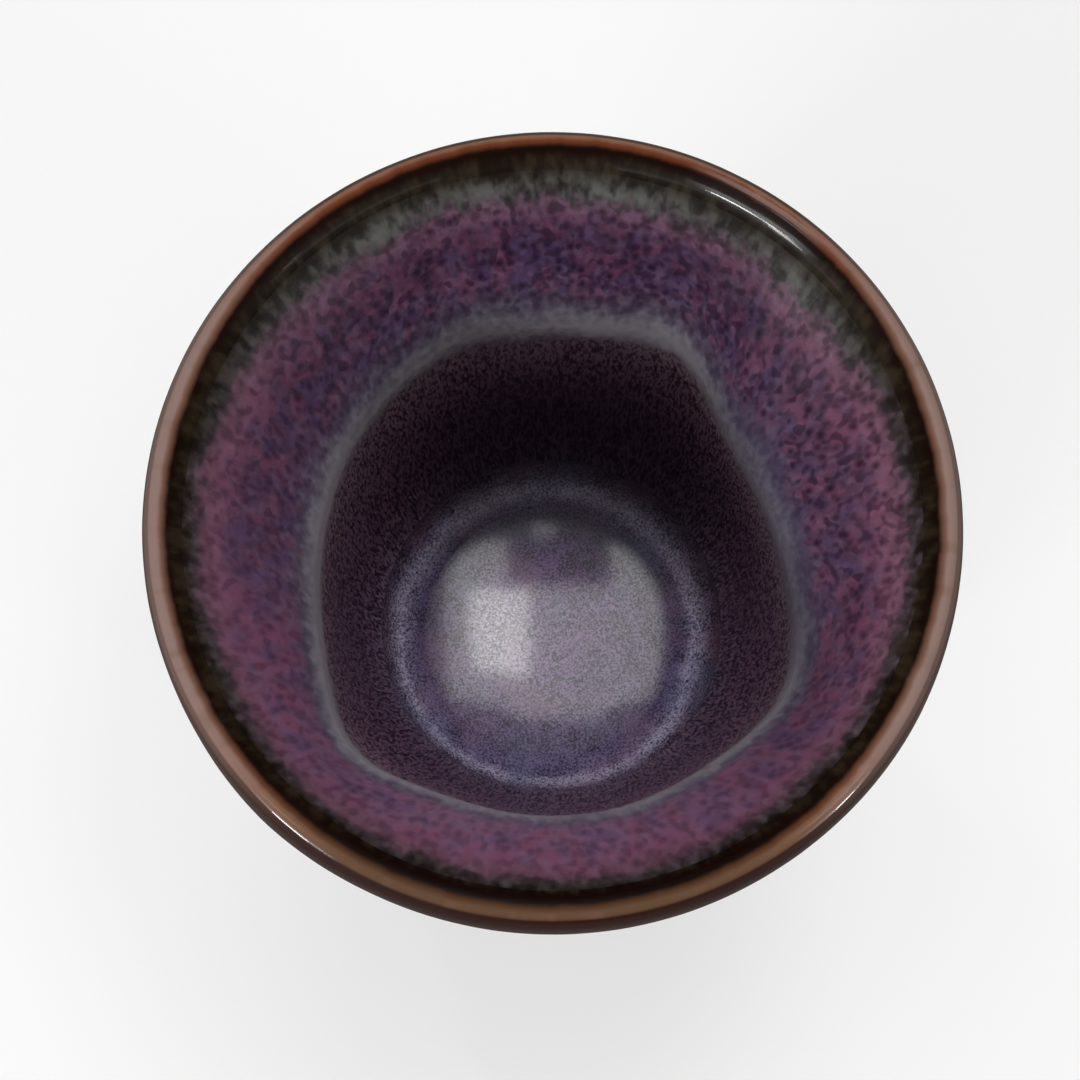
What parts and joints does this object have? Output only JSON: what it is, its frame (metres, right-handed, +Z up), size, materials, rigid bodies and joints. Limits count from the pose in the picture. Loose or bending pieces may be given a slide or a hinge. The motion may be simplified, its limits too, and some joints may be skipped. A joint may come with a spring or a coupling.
{
  "type": "guinomi sake cup",
  "caption": "Small flared stoneware sake cup with a waist pressed in by thumb and fingers, a steep well with a dished floor, and a bare foot ring; iron-brown lip over purple glaze.",
  "frame": {"origin": "middle of the foot ring's bottom face, on the table", "axes": "+Z up along the throwing axis to the mouth; the thumb's press faces 27 degrees from +X towards +Y"},
  "size_m": [0.0638, 0.064, 0.052],
  "materials": {
    "stoneware": "matt, bare, fired clay with fine sand",
    "foot_stoneware": "matt, trimmed, fired clay with fine sand",
    "pool_glaze": "gloss, thick, finely speckled",
    "inner_glaze": "satin gloss, mottled purple and blue-grey",
    "iron_glaze": "satin gloss, iron brown",
    "outer_glaze": "satin gloss, mottled purple and blue-grey"
  },
  "bodies": {
    "root": {"clay_bowl": "stoneware", "foot_ring": "foot_stoneware", "pool_glaze": "pool_glaze", "inner_glaze": "inner_glaze", "rim_glaze": "iron_glaze", "outer_glaze": "outer_glaze"}
  },
  "joints": []
}
